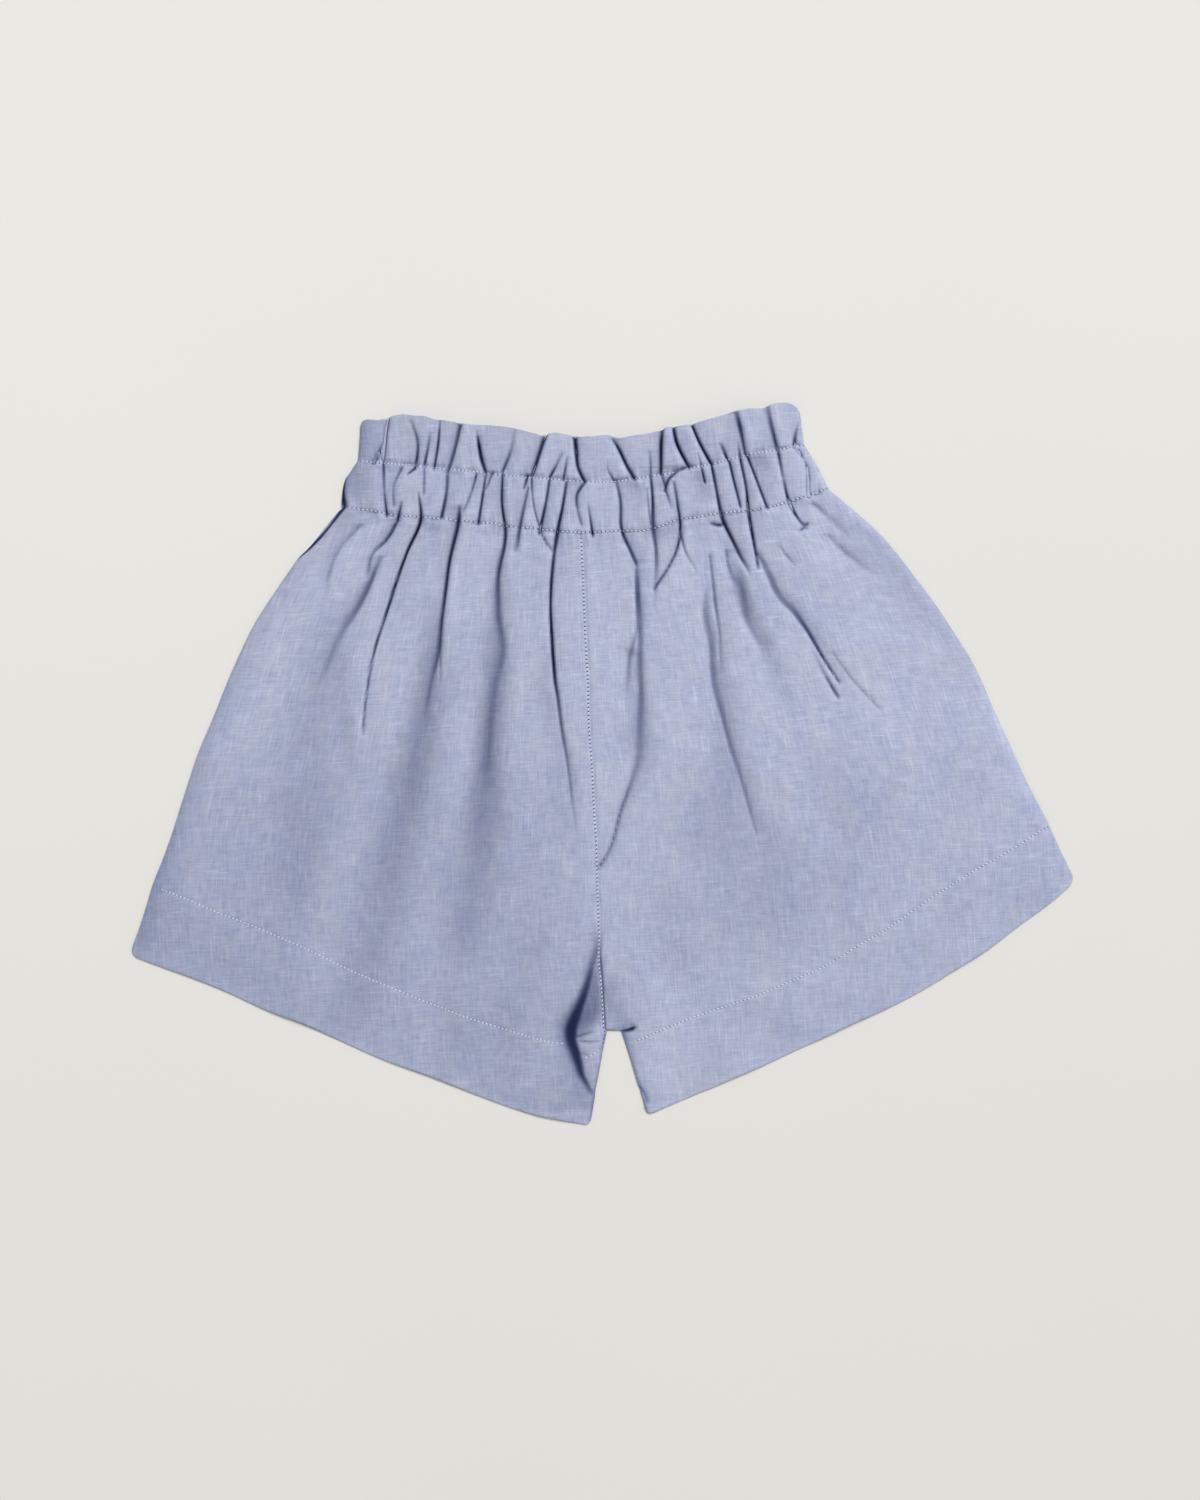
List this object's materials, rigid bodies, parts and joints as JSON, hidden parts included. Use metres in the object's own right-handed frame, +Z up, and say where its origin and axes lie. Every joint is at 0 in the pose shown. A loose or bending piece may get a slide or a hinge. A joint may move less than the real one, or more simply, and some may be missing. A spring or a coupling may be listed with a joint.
{
  "type": "chambray shorts",
  "caption": "Pull-on shorts with a gathered elastic waist, a standing frill, flared legs and deep stitched hems, laid flat with the front up.",
  "frame": {"origin": "on the surface that the shorts lie on, under the middle of their box", "axes": "+X across the garment, from the left leg to the right leg as seen from above; +Y from the hems up to the waist; +Z up, through the back and then the front"},
  "size_m": [0.5376, 0.4077, 0.0112],
  "materials": {
    "chambray": "plain-woven pale blue chambray with white weft, slubs and a soft matt hand",
    "thread": "pale matt sewing thread"
  },
  "bodies": {
    "root": {"front_left": "chambray", "front_right": "chambray", "back_left": "chambray", "back_right": "chambray", "hem_front_left": "chambray", "hem_front_right": "chambray", "hem_back_left": "chambray", "hem_back_right": "chambray", "casing_front": "chambray", "casing_back": "chambray", "frill_front": "chambray", "frill_back": "chambray"}
  },
  "joints": []
}
